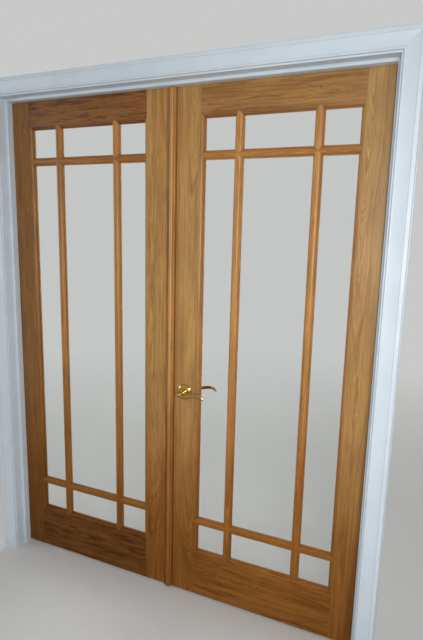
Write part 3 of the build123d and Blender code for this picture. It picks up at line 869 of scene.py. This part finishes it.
def cross_outline(reach, half_width):
    """The twelve corners of a cross, anticlockwise from the lower right of its right arm."""
    arm = [(reach, -half_width), (reach, half_width), (half_width, half_width)]
    points = []
    for quarter in range(4):
        cos = math.cos(math.radians(90 * quarter))
        sin = math.sin(math.radians(90 * quarter))
        points += [(x * cos - y * sin, x * sin + y * cos) for x, y in arm]
    return points


def add_loop(mesh, points):
    """A closed ring of edges through the points."""
    ring = [mesh.verts.new(point) for point in points]
    edges = [mesh.edges.new((ring[i - 1], ring[i])) for i in range(len(ring))]
    return ring, edges


def wall(mesh, first, second):
    """Faces between two rings with the same number of corners."""
    for i in range(len(first)):
        mesh.faces.new((first[i - 1], first[i], second[i], second[i - 1]))


def mesh_data(name, mesh):
    """A mesh's data, once it is built."""
    data = bpy.data.meshes.new(name)
    mesh.to_mesh(data)
    mesh.free()
    return data


def screw_mesh(name, head, recess):
    """A countersunk head with its top at Z = 0: a cone, a flat and a tapered cross recess."""
    mesh = bmesh.new()
    angles = [2 * math.pi * i / HEAD_SIDES for i in range(HEAD_SIDES)]
    circle = [(math.cos(angle), math.sin(angle)) for angle in angles]
    rim, _ = add_loop(mesh, ring_of(circle, head, -RIM_DROP))
    flat, flat_edges = add_loop(mesh, ring_of(circle, head * FLAT, 0.0))
    neck, _ = add_loop(mesh, ring_of(circle, head * NECK, -NECK_DEPTH * head))
    mouth, mouth_edges = add_loop(mesh, ring_of(cross_outline(*CROSS_MOUTH), head, 0.0))
    floor, _ = add_loop(mesh, ring_of(cross_outline(*CROSS_FLOOR), head, -recess * head))
    wall(mesh, neck, rim)
    wall(mesh, rim, flat)
    bmesh.ops.triangle_fill(mesh, edges=flat_edges + mouth_edges, use_beauty=True)
    wall(mesh, mouth, floor)
    mesh.faces.new(floor)
    bmesh.ops.recalc_face_normals(mesh, faces=mesh.faces)
    return mesh_data(name, mesh)


def resting_turn(number, name, turns):
    """How far round a screw happened to stop, when it was tight."""
    return math.radians(turns[0] * number + turns[1] * len(name))


def drive_screw(name, data, place, outward, turn, body):
    """One screw with its head at a place, facing outward, riding on a body."""
    screw = bpy.data.objects.new(name, data)
    bpy.context.scene.collection.objects.link(screw)
    facing = outward.to_track_quat("Z", "Y").to_matrix().to_4x4()
    screw.matrix_world = Matrix.Translation(place) @ facing @ Matrix.Rotation(turn, 4, "Z")
    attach(screw, body)


def hinge_screw_spots(side, level):
    """Places of the three screws of a door-leaf plate and a jamb-leaf plate, with the way they face."""
    low, high = corners(f"{side}_{level}_hinge_door_leaf")
    middle = (low.z + high.z) / 2
    outward = 1 if side == "right" else -1
    first, last = corners("hinge_pins")
    pin_y = (first.y + last.y) / 2
    pin_x = outward * (last.x - (last.y - first.y) / 2)
    for step in (-1, 0, 1):
        y = pin_y - (HINGE_SCREW_SHALLOW if step == 0 else HINGE_SCREW_DEEP)
        z = middle + step * HINGE_SCREW_PITCH
        for plate, way in (("door_leaf", outward), ("jamb_leaf", -outward)):
            yield plate, Vector((pin_x - way * HINGE_HALF_GAP, y, z)), Vector((way, 0, 0)), step


def plate_screw_spots(node, axis, outward):
    """Places of the two screws of a plate that lies along an axis and faces outward."""
    low, high = corners(node)
    face = high if sum(outward) > 0 else low
    for inset in (low[axis] + PLATE_SCREW_INSET, high[axis] - PLATE_SCREW_INSET):
        place = (low + high) / 2
        place[axis] = inset
        for way in (X, Y, Z):
            if outward[way]:
                place[way] = face[way]
        yield place


# Operators

class DOORS_OT_timber(bpy.types.Operator):
    """Stain and varnish every stile, rail, bar, bead and the meeting strip"""

    bl_idname = "doors.timber"
    bl_label = "Finish the timber"

    def execute(self, context):
        timber = context.scene.doors.timber
        strip = corners("astragal")[0]
        for number, (part, (run, heart, *sides)) in enumerate(MEMBERS.items()):
            for hand, side, looks in zip((-1, 1), ("left", "right"), sides):
                node = f"{side}_{part}"
                aside = (heart[0] * hand, heart[1])
                seed = NEXT_MEMBER * number + NEXT_LEAF * hand
                # The strip's painted shadow falls on the left meeting stile
                root = strip.x if node == "left_meeting_stile" else None
                dress(node, pine(node, timber, run, aside, seed, looks, root=root))
        wood = pine("astragal", timber, UPRIGHT, STRIP_HEART, STRIP_SEED, STRIP_LOOKS, strip.y, strip.x)
        dress("astragal", wood)
        return {"FINISHED"}


class DOORS_OT_paint(bpy.types.Operator):
    """Paint the jambs, stops and casings"""

    bl_idname = "doors.paint"
    bl_label = "Paint the frame"

    def execute(self, context):
        paint = context.scene.doors.paint
        upright = brushed_paint("paint_upright", paint, UPRIGHT)
        level = brushed_paint("paint_level", paint, LEVEL)
        for node in NODES:
            if node.endswith(("_jamb", "_stop", "_casing")):
                dress(node, level if "head" in node else upright)
        return {"FINISHED"}


class DOORS_OT_glass(bpy.types.Operator):
    """Glaze both leaves"""

    bl_idname = "doors.glass"
    bl_label = "Glaze the leaves"

    def execute(self, context):
        glass = window_glass("window_glass", context.scene.doors.glass)
        dress("left_glass_panes", glass)
        dress("right_glass_panes", glass)
        return {"FINISHED"}


class DOORS_OT_metal(bpy.types.Operator):
    """Polish the levers, roses, hinges, plates and bolts"""

    bl_idname = "doors.metal"
    bl_label = "Finish the metal"

    def execute(self, context):
        metal = context.scene.doors.metal
        brass = handled_metal("polished_brass", metal.brass, *BRASS_POLISH)
        steel = handled_metal("plated_steel", metal.steel, *STEEL_POLISH)
        for node in NODES:
            if node in STEEL_NODES:
                dress(node, steel)
            elif node.startswith(BRASS_STARTS) or node.endswith(BRASS_ENDS):
                dress(node, brass)
        return {"FINISHED"}


class DOORS_OT_hinge_screws(bpy.types.Operator):
    """Drive three countersunk screws through each plate of the six hinges"""

    bl_idname = "doors.hinge_screws"
    bl_label = "Drive the hinge screws"

    def execute(self, context):
        settings = context.scene.doors.screws
        data = screw_mesh("hinge_screw", settings.hinge_head, settings.recess)
        data.materials.append(bpy.data.materials["polished_brass"])
        for side in ("left", "right"):
            for level in ("bottom", "middle", "top"):
                for plate, place, outward, step in hinge_screw_spots(side, level):
                    body = "frame" if plate == "jamb_leaf" else f"{side}_leaf"
                    name = f"{side}_{level}_{plate}_screw_{step + 2}"
                    turn = resting_turn(step + 2, level, HINGE_SCREW_TURN)
                    drive_screw(name, data, place, outward, turn, body)
        return {"FINISHED"}


class DOORS_OT_plate_screws(bpy.types.Operator):
    """Drive two countersunk screws through each plate of the latch and the flush bolt"""

    bl_idname = "doors.plate_screws"
    bl_label = "Drive the plate screws"

    def execute(self, context):
        settings = context.scene.doors.screws
        data = screw_mesh("plate_screw", settings.plate_head, settings.recess)
        data.materials.append(bpy.data.materials["polished_brass"])
        for node, axis, outward, body in PLATES:
            for number, place in enumerate(plate_screw_spots(node, axis, outward)):
                name = f"{node}_screw_{number + 1}"
                turn = resting_turn(number, node, PLATE_SCREW_TURN)
                drive_screw(name, data, place, Vector(outward), turn, body)
        return {"FINISHED"}


class DOORS_OT_stage(bpy.types.Operator):
    """Set the floor, the lamps and the camera"""

    bl_idname = "doors.stage"
    bl_label = "Set the stage"

    def execute(self, context):
        stage = context.scene.doors.stage
        lay_floor(stage)
        hang_lamps(stage)
        light_room(context.scene, stage)
        stand_camera(context.scene, stage)
        context.scene.view_settings.view_transform = "Standard"
        return {"FINISHED"}


# Stage

FLOOR_REACH = 12.0
FLOOR_SQUARES = 8
FLOOR_GRAIN = Pattern((3, 3, 3))
FLOOR_SHADES = (0.99, 1.01)
FLOOR_ROUGHNESS = 0.7

MIDDLE = (0.0, 0.0, 1.1)
RIGHT_OF_MIDDLE = (0.2, 0.0, 1.15)
# Each lamp: the setting with its power, its place, what it looks at, its size and its spread in degrees
LAMPS = {
    "main_lamp": ("key", (1.6, -2.6, 1.8), RIGHT_OF_MIDDLE, 1.8, 130),
    "near_lamp": ("near", (1.12, -1.78, 1.45), RIGHT_OF_MIDDLE, 0.35, 125),
    "side_lamp": ("fill", (-3.6, -1.8, 1.7), MIDDLE, 1.3, 180),
    "back_lamp": ("back", (-1.6, 3.8, 3.0), MIDDLE, 2.6, 180),
}
# How far up a way points where the low light ends and where the room light is full
SKY_EDGES = (-0.1, 0.8)
WHITE = (1, 1, 1)

# The camera's sensor in millimetres, and how far it sees in metres
SENSOR_WIDTH = 36
SIGHT = 100


def lay_floor(stage):
    """A plain pale floor that fades into the backdrop with distance, so that no edge is in sight."""
    mesh = bmesh.new()
    bmesh.ops.create_grid(mesh, x_segments=FLOOR_SQUARES, y_segments=FLOOR_SQUARES, size=FLOOR_REACH)
    data = mesh_data("floor", mesh)
    floor = bpy.data.objects.new("floor", data)
    bpy.context.scene.collection.objects.link(floor)
    s = material_tree("floor")
    point = s.object_point()
    tone = s.span(s.noise(point, FLOOR_GRAIN), *FLOOR_GRAIN.edges, *FLOOR_SHADES, False)
    base = s.vector("SCALE", tuple(stage.floor), scale=tone)
    near = s.principled(Base_Color=base, Roughness=FLOOR_ROUGHNESS)
    far = s.span(s.vector("LENGTH", point), stage.floor_near, stage.floor_far)
    data.materials.append(s.finish(s.mix_surfaces(far, near, s.clear(WHITE))))


def hang_lamps(stage):
    """Two lamps by the camera and two softer ones, all square."""
    for name, (power, place, target, size, spread) in LAMPS.items():
        data = bpy.data.lights.new(name, "AREA")
        data.shape = "SQUARE"
        data.size = size
        data.energy = getattr(stage, power)
        data.spread = math.radians(spread)
        lamp = bpy.data.objects.new(name, data)
        bpy.context.scene.collection.objects.link(lamp)
        lamp.location = place
        lamp.visible_camera = False
        lamp.visible_transmission = False
        lamp.rotation_euler = (Vector(target) - Vector(place)).to_track_quat("-Z", "Y").to_euler()


def light_room(scene, stage):
    """Soft light from all round and mostly from above, and a plain backdrop to be seen and mirrored."""
    scene.world = bpy.data.worlds.new("room")
    s = Shading(scene.world, "ShaderNodeOutputWorld")
    up = s.parts(s.node("ShaderNodeTexCoord").outputs["Generated"])[Z]
    soft = s.light(WHITE, s.span(up, *SKY_EDGES, stage.low_world, stage.world, False))
    path = s.node("ShaderNodeLightPath").outputs
    through = s.math("MAXIMUM", path["Is Camera Ray"], path["Is Transmission Ray"])
    seen = s.math("MAXIMUM", through, path["Is Glossy Ray"])
    s.finish(s.mix_surfaces(seen, soft, s.light(stage.backdrop)))


def stand_camera(scene, stage):
    """A camera that looks along its own forward, turned by yaw, then pitch, then roll."""
    data = bpy.data.cameras.new("camera")
    data.sensor_width = SENSOR_WIDTH
    data.lens = stage.lens
    data.clip_end = SIGHT
    camera = bpy.data.objects.new("camera", data)
    scene.collection.objects.link(camera)
    pitch, roll, yaw = stage.aim
    turned = (
        Matrix.Rotation(yaw, 4, "Z") @ Matrix.Rotation(pitch, 4, "X") @ Matrix.Rotation(roll, 4, "Y")
    )
    looking = Matrix.Rotation(math.radians(90), 4, "X")
    camera.matrix_world = Matrix.Translation(Vector(stage.eye)) @ turned @ looking
    scene.camera = camera


# Add-on

class DOORS_PT_panel(bpy.types.Panel):
    """Finishes and fixings of the doors"""

    bl_idname = "DOORS_PT_panel"
    bl_label = "French Doors"
    bl_space_type = "VIEW_3D"
    bl_region_type = "UI"
    bl_category = "Doors"

    def draw(self, context):
        doors = context.scene.doors
        for group in DoorSettings.__annotations__:
            box = self.layout.box()
            box.label(text=group.capitalize())
            settings = getattr(doors, group)
            for name in settings.__annotations__:
                box.prop(settings, name)
        for step in STEPS:
            self.layout.operator(step.bl_idname)


SETTINGS = (
    TimberSettings,
    PaintSettings,
    GlassSettings,
    MetalSettings,
    ScrewSettings,
    StageSettings,
    DoorSettings,
)
STEPS = (
    DOORS_OT_timber,
    DOORS_OT_paint,
    DOORS_OT_glass,
    DOORS_OT_metal,
    DOORS_OT_hinge_screws,
    DOORS_OT_plate_screws,
    DOORS_OT_stage,
)


def register():
    """Makes the settings, the operators and the panel known."""
    for made in (*SETTINGS, *STEPS, DOORS_PT_panel):
        bpy.utils.register_class(made)
    bpy.types.Scene.doors = PointerProperty(type=DoorSettings)


def unregister():
    """Takes them out again."""
    del bpy.types.Scene.doors
    for made in reversed((*SETTINGS, *STEPS, DOORS_PT_panel)):
        bpy.utils.unregister_class(made)


def main():
    """Finishes the doors step by step."""
    register()
    bpy.ops.doors.timber()
    bpy.ops.doors.paint()
    bpy.ops.doors.glass()
    bpy.ops.doors.metal()
    bpy.ops.doors.hinge_screws()
    bpy.ops.doors.plate_screws()
    bpy.ops.doors.stage()


if __name__ == "__main__":
    main()
